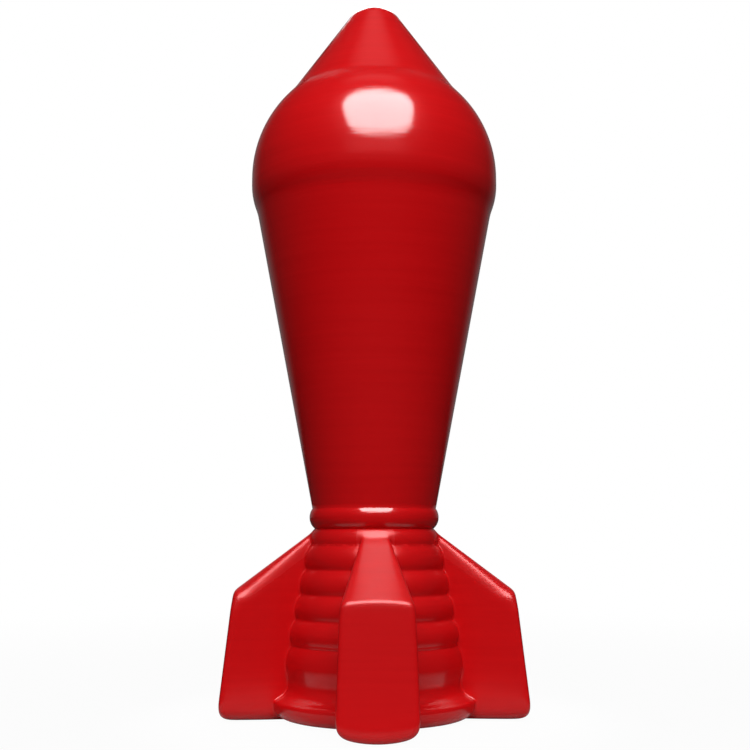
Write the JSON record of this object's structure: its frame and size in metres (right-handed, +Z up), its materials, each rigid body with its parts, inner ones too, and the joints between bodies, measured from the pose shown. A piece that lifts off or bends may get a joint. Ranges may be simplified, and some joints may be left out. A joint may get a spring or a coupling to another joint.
{
  "type": "rocket-shaped moulded plug",
  "caption": "Soft moulded adult plug in a rocket shape: pointed bulbous head, tapering body, ringed collar, ribbed neck, round flange and swept fins that it stands on.",
  "frame": {"origin": "on the axis, at the level of the feet", "axes": "+Z up along the axis from the feet to the tip; a fin points along each of +X, -X, +Y and -Y, and -Y is the front"},
  "size_m": [0.0902, 0.0902, 0.2204],
  "materials": {
    "moulding": "glossy soft PVC, opaque red right through, with fine turning marks left by the mould master"
  },
  "bodies": {
    "root": {"nose_cone": "moulding", "head": "moulding", "body": "moulding", "collar": "moulding", "ribbed_neck": "moulding", "base_flange": "moulding", "fin_front": "moulding", "fin_right": "moulding", "fin_back": "moulding", "fin_left": "moulding"}
  },
  "joints": []
}
